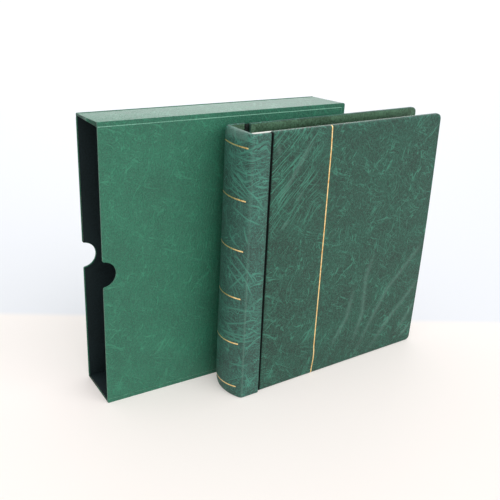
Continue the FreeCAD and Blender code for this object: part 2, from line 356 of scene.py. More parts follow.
class Nodes:
    """Adds shader nodes to one tree."""

    def __init__(self, tree):
        self.tree = tree

    def node(self, kind, settings, sockets, output=0):
        made = self.tree.nodes.new(kind)
        for key, value in settings.items():
            setattr(made, key, value)
        for key, value in sockets.items():
            if isinstance(value, Value):
                self.tree.links.new(value.socket, made.inputs[key])
            else:
                made.inputs[key].default_value = value
        return Value(self, made.outputs[output])

    def mix(self, first, second, factor):
        return self.node(
            "ShaderNodeMix", {"data_type": "RGBA"}, {0: factor, 6: first, 7: second}, 2)

    def in_sight(self):
        """1 for rays from the camera and for what they reflect or pass through, 0 for diffuse light."""
        camera, glossy, through = (
            self.node("ShaderNodeLightPath", {}, {}, "Is %s Ray" % kind)
            for kind in ("Camera", "Glossy", "Transmission"))
        return camera.larger(glossy).larger(through)


class Finish(Nodes):
    """One material and the nodes behind its shader."""

    def __init__(self, name, constants=None):
        self.material = bpy.data.materials.new(name)
        self.material.use_nodes = True
        super().__init__(self.material.node_tree)
        self.shader = self.tree.nodes["Principled BSDF"]
        for socket, value in (constants or {}).items():
            self.shader.inputs[socket].default_value = value

    def feed(self, socket, value):
        self.tree.links.new(value.socket, self.shader.inputs[socket])

    def surface(self):
        """Place on the skin, in millimetres."""
        return self.node("ShaderNodeUVMap", {"uv_map": "skin"}, {})

    def solid(self):
        """Place in the shared frame, in millimetres."""
        place = self.node("ShaderNodeTexCoord", {}, {}, "Object")
        return self.scaled(place, 1 / MM)

    def vector(self, operation, first, second):
        return self.node("ShaderNodeVectorMath", {"operation": operation}, {0: first, 1: second})

    def scaled(self, vector, scale):
        return self.node("ShaderNodeVectorMath", {"operation": "SCALE"}, {0: vector, 3: scale})

    def parts(self, vector):
        kind = "ShaderNodeSeparateXYZ"
        return [self.node(kind, {}, {0: vector}, axis) for axis in range(3)]

    def stretched(self, vector, angle, along, across, shift=(0, 0, 0)):
        """Coordinates whose unit is along by across millimetres, turned by an angle in degrees."""
        return self.node(
            "ShaderNodeMapping", {"vector_type": "TEXTURE"},
            {"Vector": vector, "Location": shift, "Rotation": (0, 0, math.radians(angle)),
             "Scale": (along, across, 1)})

    def noise(self, vector, size=1.0, detail=2.0, roughness=0.5, flat=True, output=0):
        return self.node(
            "ShaderNodeTexNoise", {"noise_dimensions": "2D" if flat else "3D"},
            {"Vector": vector, "Scale": 1 / size, "Detail": detail, "Roughness": roughness}, output)

    def cells(self, vector, size, flat=True):
        return self.node(
            "ShaderNodeTexVoronoi", {"voronoi_dimensions": "2D" if flat else "3D"},
            {"Vector": vector, "Scale": 1 / size})

    def ramp(self, value, low, high):
        return self.node(
            "ShaderNodeMapRange", {"interpolation_type": "SMOOTHSTEP"},
            {"Value": value, "From Min": low, "From Max": high})

    def bump(self, height, rise):
        """Surface relief, with height 1 standing for a rise in millimetres."""
        self.feed("Normal", self.node("ShaderNodeBump", {}, {"Height": height, "Distance": rise * MM}))


# Finishes

def warped(finish, place, size, amount):
    """Place moved about by broad noise, so that veins curve."""
    wander = finish.noise(place, size, 1.0, output=1)
    wander = finish.vector("SUBTRACT", wander, (0.5, 0.5, 0.5))
    return finish.vector("ADD", place, finish.scaled(wander, amount))


def wrinkle(finish, place, angle, along, across, shift, detail=2.0):
    """Noise about 0 that is drawn out along one direction."""
    return finish.noise(finish.stretched(place, angle, along, across, shift), 1.0, detail, 0.5) - 0.5


def veins(finish, place, angle, along, across, width, shift):
    """Thin lines that run along one direction and fade in and out."""
    line = 1 - finish.ramp(abs(wrinkle(finish, place, angle, along, across, shift)), 0.0, width)
    presence = finish.noise(finish.stretched(place, angle, along * 0.9, along * 0.5, shift), 1.0, 1.0)
    return line * finish.ramp(presence, 0.4, 0.6)


def leatherette(name, tones, contrast, gloss, rough, regions=None):
    """Embossed leatherette: pebbled ground, a fine net and long curved veins with a painted highlight, and troughs
    darkened as painted shade.
    """
    recess, ground, vein_highlight = tones
    finish = Finish(name, {"Specular IOR Level": gloss})
    place = finish.surface()
    bent = warped(finish, place, 60.0, 34.0)
    curled = warped(finish, place, 16.0, 9.0)
    long_veins = veins(finish, bent, 65, 42.0, 8.0, 0.026, (0, 0, 0))
    cross_veins = veins(finish, bent, -28, 36.0, 7.0, 0.026, (310, 70, 0))
    net = veins(finish, curled, 25, 5.0, 2.0, 0.06, (95, 410, 0))
    counter_net = veins(finish, curled, 115, 5.0, 1.9, 0.06, (530, 150, 0))
    lines = long_veins.larger(cross_veins * 0.9).larger(net * 0.6).larger(counter_net * 0.6)
    shaded_troughs = finish.ramp(wrinkle(finish, curled, 70, 4.0, 1.7, (12, 64, 0)), 0.02, 0.16) * 0.9
    if regions:
        # Wrinkle crests are painted as highlight lines and their hollows as shaded troughs.
        wrinkle_light_and_shade, mask = regions(finish, place)
        # The fold mark brings a painted grey sheen, and the wrinkle mark brings pale painted highlight lines.
        fold = finish.node("ShaderNodeAttribute", {"attribute_name": "fold"}, {}, "Fac")
        wrinkles = finish.node("ShaderNodeAttribute", {"attribute_name": "wrinkle"}, {}, "Fac")
        lines = lines.larger(finish.ramp(wrinkle_light_and_shade, 0.04, 0.14) * mask).larger(wrinkles)
        shaded_troughs = shaded_troughs.larger(finish.ramp(0 - wrinkle_light_and_shade, 0.04, 0.15) * mask)
    pebble = finish.cells(warped(finish, place, 5.0, 2.0), 1.15)
    speckle = finish.noise(place, 1.3, 2.0, 0.6)
    tone = finish.noise(place, 38.0, 3.0, 0.6)
    colour = finish.mix(recess, ground, finish.ramp(speckle + (tone - 0.5) * 0.35, 0.36, 0.6))
    # Troughs are darkened towards the recess tone: painted shade.
    colour = finish.mix(colour, recess, shaded_troughs * contrast)
    # Veins and wrinkle lines take the paler vein tone: the grain's own lines with a painted highlight on them.
    colour = finish.mix(colour, vein_highlight, lines * contrast)
    # Painted grey sheen on the folds, the spine's fold ridges and its head cap.
    if regions:
        colour = finish.mix(colour, PAINTED_SHEEN_TONE, fold * 0.4)
    finish.feed("Base Color", colour)
    finish.feed("Roughness", rough + speckle * 0.14 - lines * 0.06)
    finish.bump(lines * 0.7 - shaded_troughs * 0.6 + (1 - pebble) * 0.3 + speckle * 0.2, 0.3)
    return finish.material


def cover_regions(finish, place):
    """Front cover: wrinkles fan up from the hinge at the head, painted as pale highlight lines and shaded troughs.
    """
    across, up, _ = finish.parts(place)
    mask = finish.ramp(across, 90.0, 45.0) * finish.ramp(up, 180.0, 228.0)
    drift = warped(finish, place, 60.0, 14.0)
    return wrinkle(finish, drift, 47, 34.0, 1.5, (40, 12, 0), 3.0), mask


def spine_regions(finish, place):
    """Spine: swirling wrinkles that lie nearly level below the upper band and above the foot, painted as pale
    highlight lines and shaded troughs.
    """
    _, up, _ = finish.parts(place)
    head = finish.ramp(up, 225.0, 255.0) * 0.75
    foot = finish.ramp(abs(up - 95.0), 48.0, 20.0) * 0.45
    drift = warped(finish, place, 40.0, 32.0)
    return wrinkle(finish, drift, 8, 22.0, 1.5, (15, 33, 0), 3.0), head.larger(foot)


def foil(name):
    """Gold blocking foil, pressed into the grain and a little worn."""
    finish = Finish(name, {"Metallic": 0.85})
    place = finish.solid()
    wear = finish.noise(place, 2.2, 3.0, 0.7, flat=False)
    colour = finish.mix(srgb(226, 172, 92), srgb(255, 226, 164), finish.ramp(wear, 0.3, 0.62))
    finish.feed("Base Color", colour)
    finish.feed("Roughness", 0.3 + wear * 0.25)
    finish.bump(finish.noise(place, 0.7, 1.0, flat=False), 0.05)
    return finish.material


def grained_paper(name, low, high, grain, rough, relief):
    """Matt sheet with a fine grain: endpaper, lining paper, card or board."""
    finish = Finish(name, {"Specular IOR Level": 0.3})
    place = finish.solid()
    fine = finish.noise(place, grain, 3.0, 0.65, flat=False)
    broad = finish.noise(place, 45.0, 2.0, flat=False)
    finish.feed("Base Color", finish.mix(low, high, finish.ramp(fine * 0.7 + broad * 0.3, 0.35, 0.62)))
    finish.feed("Roughness", rough + fine * 0.12)
    finish.bump(fine, relief)
    return finish.material


def album_card(name):
    """White album card with a printed hairline frame on each leaf."""
    finish = Finish(name, {"Specular IOR Level": 0.3})
    place = finish.solid()
    x, _, z = finish.parts(place)
    low_x, low_z, high_x, high_z = PAGE_FRAME
    frame_edge = abs(x - (low_x + high_x) / 2 - ORIGIN.x / MM) - (high_x - low_x) / 2
    frame_end = abs(z - (low_z + high_z) / 2) - (high_z - low_z) / 2
    hairline = 1 - finish.ramp(abs(frame_edge.larger(frame_end)), 0.15, 0.35)
    fibre = finish.noise(place, 1.1, 3.0, 0.6, flat=False)
    tone = finish.noise(place, 60.0, 2.0, flat=False)
    mottle = finish.ramp(fibre * 0.6 + tone * 0.4, 0.3, 0.65)
    card = finish.mix(srgb(239, 237, 230), srgb(248, 247, 242), mottle)
    finish.feed("Base Color", finish.mix(card, srgb(150, 150, 146), hairline * 0.8))
    finish.feed("Roughness", 0.7 + fibre * 0.15)
    finish.bump(fibre, 0.03)
    return finish.material


def linen(name):
    """Woven linen tape."""
    finish = Finish(name, {"Specular IOR Level": 0.25})
    place = finish.surface()
    thread = {"Vector": place, "Scale": 0.62, "Distortion": 0.6}
    threads, picks = (
        finish.node("ShaderNodeTexWave", {"bands_direction": axis}, thread) for axis in ("X", "Y"))
    weave = threads * 0.5 + picks * 0.5
    finish.feed("Base Color", finish.mix(srgb(205, 200, 186), srgb(240, 237, 228), weave))
    finish.feed("Roughness", 0.8 + weave * 0.1)
    finish.bump(weave, 0.08)
    return finish.material


def metal(name, low, high, rough):
    """Drawn or plated metal with fine lines along the album's height."""
    finish = Finish(name, {"Metallic": 1.0})
    place = finish.solid()
    drawn = finish.noise(finish.vector("MULTIPLY", place, (3.0, 3.0, 0.05)), 1.0, 2.0, flat=False)
    finish.feed("Base Color", finish.mix(low, high, drawn))
    finish.feed("Roughness", rough + drawn * 0.16)
    finish.bump(drawn, 0.02)
    return finish.material


def foam_rubber(name):
    """Open-pored padding foam."""
    finish = Finish(name)
    place = finish.solid()
    pores = finish.cells(place, 0.8, flat=False)
    open_pores = finish.ramp(pores, 0.1, 0.5)
    finish.feed("Base Color", finish.mix(srgb(205, 203, 190), srgb(236, 234, 224), open_pores))
    finish.feed("Roughness", 0.85 + pores * 0.1)
    finish.bump(pores, 0.2)
    return finish.material


ALBUM_TONES = (srgb(28, 47, 40), srgb(33, 84, 68), srgb(70, 146, 122))
# The spine's tones are lighter than the covers' tones: painted light on the spine's face.
SPINE_LIT_TONES = (srgb(44, 62, 57), srgb(54, 101, 89), srgb(84, 164, 142))
CASE_TONES = (srgb(34, 92, 72), srgb(40, 114, 88), srgb(62, 152, 118))
# Paler tones for the slipcase step's ramp: a painted highlight.
CASE_STEP_HIGHLIGHT_TONES = (srgb(84, 138, 116), srgb(110, 166, 144), srgb(140, 190, 168))
# Grey-green tone of the painted sheen on folds, fold ridges and the spine's head cap.
PAINTED_SHEEN_TONE = srgb(92, 130, 117)
# Near-black groove tones: painted shade in the hinge grooves.
GROOVE_SHADE_TONES = (srgb(8, 12, 11), srgb(12, 22, 19), srgb(22, 42, 36))
front_cover_leather = leatherette("front_cover_leather", ALBUM_TONES, 0.65, 0.4, 0.5, cover_regions)
spine_leather = leatherette("spine_leather", SPINE_LIT_TONES, 0.65, 0.4, 0.5, spine_regions)
album_leather = leatherette("album_leather", ALBUM_TONES, 0.65, 0.4, 0.5)
groove_shade_leather = leatherette("groove_shade_leather", GROOVE_SHADE_TONES, 0.5, 0.25, 0.6)
case_leather = leatherette("case_leather", CASE_TONES, 0.5, 0.5, 0.44)
case_step_highlight = leatherette("case_step_highlight", CASE_STEP_HIGHLIGHT_TONES, 0.5, 0.5, 0.44)
inner_vinyl = grained_paper("inner_vinyl", srgb(50, 76, 56), srgb(84, 122, 96), 2.0, 0.55, 0.2)
lining_black = grained_paper("lining_black", srgb(18, 31, 33), srgb(29, 45, 48), 1.6, 0.6, 0.06)
greyboard = grained_paper("greyboard", srgb(140, 135, 125), srgb(172, 167, 156), 0.9, 0.8, 0.06)
gold_foil = foil("gold_foil")
leaf_card = album_card("leaf_card")
leaf_linen = linen("leaf_linen")
rail_aluminium = metal("rail_aluminium", srgb(186, 188, 190), srgb(224, 225, 227), 0.28)
bright_steel = metal("bright_steel", srgb(178, 178, 180), srgb(222, 222, 224), 0.2)
upholstery_foam = foam_rubber("upholstery_foam")

SLOT_FINISH = {
    "album_leather": album_leather,
    "case_leather": case_leather,
    "lining_cloth": inner_vinyl,
    "case_black": lining_black,
    "greyboard": greyboard,
    "foam": upholstery_foam,
    "leaf_card": leaf_card,
    "rail_metal": rail_aluminium,
    "bright_steel": bright_steel,
}
for subpart in frame["record"]["subparts"]:
    node = nodes[subpart["node"]]
    node.data.materials.clear()
    node.data.materials.append(SLOT_FINISH[subpart["material_slot"]])


# Covers

# Width, rise and line of each fold; every fold also gets a painted grey sheen
COVER_FOLDS = [
    (2.8, 0.6, [(42, 242), (61, 272), (81, 303)]),
    (2.4, 0.45, [(31, 308), (37, 290)]),
    (2.0, 0.4, [(45, 205), (54, 214)]),
    (1.8, 0.35, [(64, 235), (71, 245)]),
    (3.0, 0.35, [(135, 32), (156, 66), (163, 103)]),
    (3.2, 0.45, [(170, 25), (182, 65), (181, 116), (190, 146)]),
    (3.2, 0.5, [(176, 9), (205, 63), (221, 92), (256, 127), (277, 146)]),
    (3.2, 0.5, [(201, 6), (228, 43), (265, 80), (277, 92)]),
    (2.8, 0.42, [(249, 20), (270, 50), (277, 60)]),
    (2.4, 0.35, [(257, 11), (277, 27)]),
]
FOLD_ENDS = 0.25
COVER_RIPPLES = [(0.16, 34.0, 1.5), (0.06, 9.0, 4.5)]


def cover_folds(x, z):
    """Soft folds of the front cover: how much painted sheen the skin gets there, and its rise in millimetres."""
    painted_sheen = np.zeros(x.shape)
    rise = np.zeros(x.shape)
    for width, height, line in COVER_FOLDS:
        gap, share = distance_to_line(x, z, line)
        bell = np.exp(-(gap / width) ** 2) * tapered(share, FOLD_ENDS)
        painted_sheen = np.maximum(painted_sheen, bell)
        rise = np.maximum(rise, bell * height)
    return painted_sheen, rise


def cover_swell(along, up, folded):
    """How far the padded skin stands out from the flat cover, in millimetres, with its painted sheen."""
    to_edge = np.minimum.reduce([along, COVER_LENGTH - along, up, HEIGHT - up])
    fade = smooth_step(EDGE_ROUND, 3 * EDGE_ROUND, to_edge)
    crown = PADDED_CROWN * smooth_step(0, CROWN_REACH, to_edge)
    ripple = ripples(along, up, COVER_RIPPLES)
    if folded:
        painted_sheen, rise = cover_folds(along + COVER_START, up)
    else:
        painted_sheen = rise = np.zeros(along.shape)
    return (crown + ripple + rise) * fade, painted_sheen * fade


def front_place(points):
    """(along, up, depth) on the front cover to album millimetres."""
    along, up, depth = np.asarray(points, float).T
    bow = FORE_EDGE_REACH + FORE_EDGE_BOW * np.sin(np.pi * up / HEIGHT)
    x = along + COVER_START + bow * (along / COVER_LENGTH) ** 2
    return np.stack([x, depth + COVER_SETBACK, up], 1)


def back_place(points):
    """(along, up, depth) on the back cover to album millimetres."""
    placed = front_place(points)
    placed[:, 1] = SPINE_WIDTH - placed[:, 1]
    return placed


def mark(skin, name, amount):
    """Marks folds and wrinkles on the skin for the leatherette's shader, which paints a grey sheen on the folds
    and pale highlight lines on the wrinkles.
    """
    marks = skin.data.attributes.new(name, "FLOAT", "POINT")
    marks.data.foreach_set("value", amount.astype(np.float32))


def cover_skin(name, leather, place, front):
    """Padded skin of a cover, turned in round its endpaper."""
    rim = rounded_rim(EDGE_ROUND, COVER_THICKNESS, INNER_BEVEL, TURN_IN, LEATHER)
    points, faces, uv, rings = wrapped_panel(
        COVER_LENGTH, HEIGHT, HINGE_CORNER, FORE_CORNER, rim, COVER_STEP)
    outside = points[:, 2] < EDGE_ROUND / 2
    swell, painted_sheen = cover_swell(points[:, 0], points[:, 1], front)
    points[:, 2] -= np.where(outside, swell, 0)
    if not front:
        faces = [face[::-1] for face in faces]
    inner_ring = len(rim) - 2
    skin = mesh_object(name, place(points), faces, uv, [leather, inner_vinyl], rings >= inner_ring)
    # The fold mark carries the painted grey sheen of the folds.
    mark(skin, "fold", np.where(outside, painted_sheen, 0))
    return skin


front_skin = cover_skin("front_cover_skin", front_cover_leather, front_place, True)
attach(front_skin, "front_cover")
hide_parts("front_leather", "front_padding")
back_skin = cover_skin("back_cover_skin", album_leather, back_place, False)
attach(back_skin, "back_cover")
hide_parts("back_leather", "back_padding")


def cover_gold_line():
    """Foil line down the front cover, over its rounded head and foot."""
    half_turn = [math.radians(angle) for angle in range(90, -1, -15)]
    over = [(EDGE_ROUND * (1 - math.sin(t)), EDGE_ROUND * (1 - math.cos(t))) for t in half_turn]
    face = np.arange(EDGE_ROUND + 1, HEIGHT - EDGE_ROUND - 1, 1.0)
    up = np.concatenate([[p[0] for p in over], face, [HEIGHT - p[0] for p in over[::-1]]])
    depth = np.concatenate([[p[1] for p in over], np.zeros_like(face), [p[1] for p in over[::-1]]])
    kink = sum(shift * smooth_step(start, end, up) for shift, start, end in LINE_KINKS)
    points = []
    for side, rise in FOIL_PROFILE:
        along = COVER_LINE + kink + side * FOIL_WIDTH
        swell, _ = cover_swell(along, up, True)
        points.append(np.stack([along, up, depth - swell - FOIL_RISE * rise], 1))
    return ribbon("cover_gold_line", points, front_place)


def ribbon(name, lines, place):
    """Strip of foil through parallel lines of points."""
    points = np.concatenate(lines)
    number = np.arange(len(points)).reshape(len(lines), -1)
    faces = grid_faces(number)[:, TURNED_OVER]
    return mesh_object(name, place(points), faces.tolist(), points[:, :2], [gold_foil])


gold_line = cover_gold_line()
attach(gold_line, "front_cover")


# Spine

BULGE_HEIGHTS = [0, 6, 18, 72, 157, 243, 296, 308, 312, 315]
BULGE_SIZES = [7.5, 10.0, 12.0, 11.7, 9.7, 7.0, 5.4, 4.8, 3.2, 0.8]


def spine_bulge(z):
    """How far the rounded back stands out; it is fuller near the foot and pressed flat at the head."""
    return np.interp(z, BULGE_HEIGHTS, BULGE_SIZES)


def spine_sections(bulge):
    """Radius and centre of the round back, the fold's start, and the angle where the two meet."""
    radius = (HALF_SPINE ** 2 + bulge ** 2) / (2 * bulge)
    centre_x = radius - bulge
    fold_x = centre_x - np.sqrt((radius - FOLD_RADIUS) ** 2 - (HALF_SPINE - FOLD_RADIUS) ** 2)
    meet = np.arcsin((HALF_SPINE - FOLD_RADIUS) / (radius - FOLD_RADIUS))
    return radius, centre_x, fold_x, meet


def spine_lengths(bulge):
    """Lengths of strip, fold and round back, opened out."""
    radius, _, fold_x, meet = spine_sections(bulge)
    strip = STRIP_WIDTH + STRIP_REACH - fold_x
    fold = FOLD_RADIUS * (math.pi / 2 - meet)
    return strip, fold, 2 * radius * meet


STRIP_RUN, FOLD_RUN, BACK_RUN = (float(run) for run in spine_lengths(SPINE_BULGE))
SPINE_RUN = 2 * (STRIP_RUN + FOLD_RUN) + BACK_RUN


def spine_place(points):
    """(along, up, depth) on the opened-out spine case to album millimetres, wrapped round the spine."""
    along, up, depth = np.asarray(points, float).T
    far = along > SPINE_RUN / 2
    near = np.where(far, SPINE_RUN - along, along)
    radius, centre_x, fold_x, meet = spine_sections(spine_bulge(up))
    edge_x = STRIP_WIDTH + STRIP_REACH + STRIP_FOOT_REACH * smooth_step(STRIP_FOOT_HEIGHT, 0, up)
    strip_x = edge_x - near / STRIP_RUN * (edge_x - fold_x)
    fold_turn = -math.pi / 2 + (near - STRIP_RUN) / FOLD_RUN * (math.pi / 2 - meet)
    fold_reach = FOLD_RADIUS - depth
    back_turn = -meet + (near - STRIP_RUN - FOLD_RUN) / (BACK_RUN / 2) * meet
    back_reach = radius - depth
    on_strip = near <= STRIP_RUN
    on_fold = near <= STRIP_RUN + FOLD_RUN
    x = np.where(on_strip, strip_x, np.where(
        on_fold, fold_x - fold_reach * np.cos(fold_turn), centre_x - back_reach * np.cos(back_turn)))
    y = np.where(on_strip, depth, np.where(
        on_fold, FOLD_RADIUS + fold_reach * np.sin(fold_turn), HALF_SPINE + back_reach * np.sin(back_turn)))
    return np.stack([x, np.where(far, SPINE_WIDTH - y, y), up], 1)


# Lines of the wrinkles, as (along, up) on the opened-out spine
SPINE_WRINKLES = [
    [(58, 111.5), (38.5, 115.5), (25.5, 115.5), (2.5, 109)],
    [(51, 94.5), (37.5, 96.5), (19.5, 101.5), (3, 95)],
    [(58.5, 81.5), (44, 83.5), (20, 85), (2.5, 88)],
    [(52, 81.5), (31, 81), (17, 80), (2.5, 83)],
    [(48, 77.5), (29.5, 76.5), (7.5, 74)],
    [(57.5, 176), (34.5, 163.5), (23.5, 150), (13, 127)],
    [(40, 180.5), (26.5, 168.5), (11.5, 145)],
    [(16.5, 160), (3, 157)],
    [(49.5, 164), (35.5, 152.5), (25.5, 144)],
    [(46, 137), (34, 150.5), (22, 166.5)],
    [(41, 45), (15, 44.5)],
    [(17.5, 12), (11, 20), (2, 27)],
    [(53, 273.5), (36.5, 264.5), (20, 250), (4.5, 231.5)],
    [(55.5, 267), (38.5, 259.5), (24, 248.5)],
    [(57.5, 259.5), (38.5, 253), (24.5, 246.5)],
    [(58, 253.5), (41, 248.5), (27.5, 244.5)],
    [(55.5, 276), (34.5, 273.5), (21.5, 273), (3, 279.5)],
    [(55, 289.5), (34, 288), (22.5, 288), (1.5, 293)],
    [(60, 297), (40.5, 304), (23.5, 309)],
    [(50, 292), (34.5, 294.5), (23, 301), (8, 308)],
    [(22.5, 250.5), (12.5, 246.5), (3.5, 249)],
    [(21, 262.5), (10, 257.5), (1.5, 258)],
    [(50.5, 234.5), (34, 228.5), (21.5, 222), (8, 215)],
    [(29.5, 214.5), (26.5, 205), (24, 195.5)],
    [(26.5, 240), (14.5, 237), (7, 231)],
    [(51, 204.5), (45.5, 197), (34.5, 190)],
]
WRINKLE_WIDTH = 0.8
WRINKLE_RISE = 0.3
WRINKLE_ENDS = 0.3
CURVE_POINTS = 13
RIDGE_PLACE = 2.2
RIDGE_WIDTH = 1.1
RIDGE_RISE = 0.8
RIDGE_AT_HEAD = 0.35
RIDGE_FADE = (240, 80)
CREASE_DEPTH = 0.45
CREASE_WIDTH = 0.9
CAP_FADE = (304, 310)
CAP_MARGIN = 6
CAP_MARK = 0.9
FOLD_MARK = 1.3
SPINE_RIPPLES = [(0.14, 26.0, 8.5), (0.05, 7.0, 2.5)]


def curve_through(points):
    """Smooth line through a few points."""
    share = np.linspace(0, 1, len(points))
    fine = np.linspace(0, 1, CURVE_POINTS)
    along, up = (np.polyval(np.polyfit(share, axis, len(points) - 1), fine) for axis in zip(*points))
    return list(zip(along, up))


def spine_wrinkles(along, up):
    """How near a place is to a wrinkle of the spine's skin, 0 to 1."""
    nearness = np.zeros(along.shape)
    for points in SPINE_WRINKLES:
        gap, share = distance_to_line(along, up, curve_through(points))
        bell = np.exp(-(gap / WRINKLE_WIDTH) ** 2) * tapered(share, WRINKLE_ENDS)
        nearness = np.maximum(nearness, bell)
    return nearness


def fold_ridge(along, up):
    """How near a place is to the raised line along each fold, 0 to 1; the line softens towards the head."""
    near = np.minimum(along, SPINE_RUN - along)
    strength = RIDGE_AT_HEAD + (1 - RIDGE_AT_HEAD) * smooth_step(*RIDGE_FADE, up)
    return strength * np.exp(-((near - STRIP_RUN - RIDGE_PLACE) / RIDGE_WIDTH) ** 2)


def head_cap_sheen(along, up):
    """Where the back is pressed flat at the head and gets a painted grey sheen in place of its wrinkle marks, 0 to
    1.
    """
    near = np.minimum(along, SPINE_RUN - along)
    back = STRIP_RUN + FOLD_RUN
    return smooth_step(*CAP_FADE, up) * smooth_step(back, back + CAP_MARGIN, near)


def spine_swell(along, up):
    """Relief of the spine's skin: ridge and pressed line at each fold, wrinkles and slight waviness."""
    near = np.minimum(along, SPINE_RUN - along)
    crease = -CREASE_DEPTH * np.exp(-((near - STRIP_RUN) / CREASE_WIDTH) ** 2)
    to_end = np.minimum.reduce([up, HEIGHT - up, near])
    ridge = RIDGE_RISE * fold_ridge(along, up) * smooth_step(0, 2 * STRIP_EDGE_ROUND, to_end)
    fade = smooth_step(STRIP_EDGE_ROUND, 4 * STRIP_EDGE_ROUND, to_end)
    ripple = ripples(along, up, SPINE_RIPPLES)
    return ridge + (crease + ripple + WRINKLE_RISE * spine_wrinkles(along, up)) * fade


def spine_skin():
    """Leatherette of the spine case, wrapped round its strips and back."""
    rim = rounded_rim(STRIP_EDGE_ROUND, CASE_THICKNESS, INNER_BEVEL, TURN_IN, LEATHER)
    points, faces, uv, rings = wrapped_panel(
        SPINE_RUN, HEIGHT, SPINE_CORNER, SPINE_CORNER, rim, SPINE_STEP, True)
    outside = points[:, 2] < STRIP_EDGE_ROUND / 2
    along, up = points[:, 0], points[:, 1]
    points[:, 2] -= np.where(outside, spine_swell(along, up), 0)
    skin = mesh_object(
        "spine_skin", spine_place(points), faces, uv, [spine_leather, inner_vinyl], rings >= len(rim) - 2)
    # The fold ridges and the head cap get a painted grey sheen through the fold mark, and the wrinkle mark paints
    # pale highlight lines on the wrinkles.
    cap_sheen = head_cap_sheen(along, up)
    ridge = np.maximum(fold_ridge(along, up), CAP_MARK * cap_sheen)
    mark(skin, "fold", FOLD_MARK * np.where(outside, ridge, cap_sheen))
    mark(skin, "wrinkle", np.where(outside, spine_wrinkles(along, up) * (1 - cap_sheen), 0))
    return skin


spine = spine_skin()
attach(spine, "spine")
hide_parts("spine_leather", "spine_board")


def spine_lining_sheet():
    """Inner lining, pasted over the turned-in leatherette from strip to strip."""
    rim = [(0.0, CASE_THICKNESS - LINING_SINK), (0.0, LINING_DEPTH)]
    length = SPINE_RUN - 2 * TURN_IN
    height = HEIGHT - 2 * TURN_IN
    points, faces, uv, _ = wrapped_panel(
        length, height, LINING_CORNER, LINING_CORNER, rim, SPINE_STEP, True)
    points[:, :2] += TURN_IN
    faces = [face[::-1] for face in faces]
    return mesh_object("spine_lining_sheet", spine_place(points), faces, uv, [inner_vinyl])


lining = spine_lining_sheet()
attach(lining, "spine")
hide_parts("spine_lining")


def spine_gold_bands():
    """Foil lines round the spine, from just behind one fold to just behind the other."""
    bands = []
    for index in range(BAND_COUNT):
        middle = HEIGHT / 2 + (index - (BAND_COUNT - 1) / 2) * BAND_PITCH
        start = STRIP_RUN + BAND_START + BAND_SLANT * (1 - middle / HEIGHT)
        along = np.linspace(start, SPINE_RUN - start, BAND_POINTS)
        lines = []
        for side, rise in FOIL_PROFILE[::-1]:
            up = np.full_like(along, middle + side * FOIL_WIDTH)
            lines.append(np.stack([along, up, -spine_swell(along, up) - FOIL_RISE * rise], 1))
        bands.append(ribbon("spine_gold_band_%d" % (index + 1), lines, spine_place))
    return bands


for foil_band in spine_gold_bands():
    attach(foil_band, "spine")


# Hinge grooves

GROOVE_FLOOR = 5.4
GROOVE_LAP = 0.5
GROOVE_SKIN = 0.7
GROOVE_EDGE_DEPTH = 1.3
GROOVE_END_GAP = 0.6
GROOVE_TURNS = 15
GROOVE_LEVELS = 106


def groove(name, place):
    """Trough of leatherette that bends between the side strip and a cover, in near-black leather that is painted
    shade.
    """
    strip_edge = STRIP_WIDTH - GROOVE_LAP
    cover_edge = COVER_START + GROOVE_LAP
    turns = np.linspace(0, math.pi, GROOVE_TURNS)
    middle = (strip_edge + cover_edge) / 2
    half = (cover_edge - strip_edge) / 2
    x = np.concatenate([[strip_edge], middle - half * np.cos(turns), [cover_edge]])
    trough = GROOVE_FLOOR - half + half * np.sin(turns)
    y = np.concatenate([[GROOVE_EDGE_DEPTH], trough, [COVER_SETBACK + GROOVE_EDGE_DEPTH]])
    tangent = np.stack([np.gradient(x), np.gradient(y)], 1)
    tangent /= np.linalg.norm(tangent, axis=1)[:, None]
    under_x = x - tangent[:, 1] * GROOVE_SKIN
    under_y = y + tangent[:, 0] * GROOVE_SKIN
    loop_x = np.concatenate([x, under_x[::-1]])
    loop_y = np.concatenate([y, under_y[::-1]])
    run = np.concatenate([[0], np.cumsum(np.hypot(np.diff(loop_x), np.diff(loop_y)))])
    levels = np.linspace(GROOVE_END_GAP, HEIGHT - GROOVE_END_GAP, GROOVE_LEVELS)
    points = np.array([(px, py, z) for z in levels for px, py in zip(loop_x, loop_y)])
    uv = np.array([(s + SPINE_RUN, z) for z in levels for s in run])
    faces = tube_faces(len(loop_x), len(levels))
    made = mesh_object(name, place(points), faces, uv, [groove_shade_leather])
    return made


def rear_side(points):
    """The same points, mirrored to the back cover's side."""
    points = points.copy()
    points[:, 1] = SPINE_WIDTH - points[:, 1]
    return points


def frame_point(x, y, z):
    """One place in album millimetres, in metres in the shared frame."""
    return tuple(to_frame([(x, y, z)])[0])


front_groove = groove("front_groove_leather", lambda points: points)
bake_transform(front_groove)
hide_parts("front_groove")
rear_groove = groove("rear_groove_leather", rear_side)
rear_groove.data.flip_normals()
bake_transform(rear_groove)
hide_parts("rear_groove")


# Leaves

LINEN_REACH = 7.0
LINEN_THICKNESS = 0.06
LINEN_LEVELS = 30
GUARD_FACE = 0.55
PAGE_FACE = 0.25
# Place across the hinge line and height over its middle
LINEN_STEPS = [
    (-LINEN_REACH, GUARD_FACE), (-1.0, GUARD_FACE), (-0.5, 0.5), (0, 0.42), (0.6, 0.4), (1.4, PAGE_FACE),
    (LINEN_REACH, PAGE_FACE)]


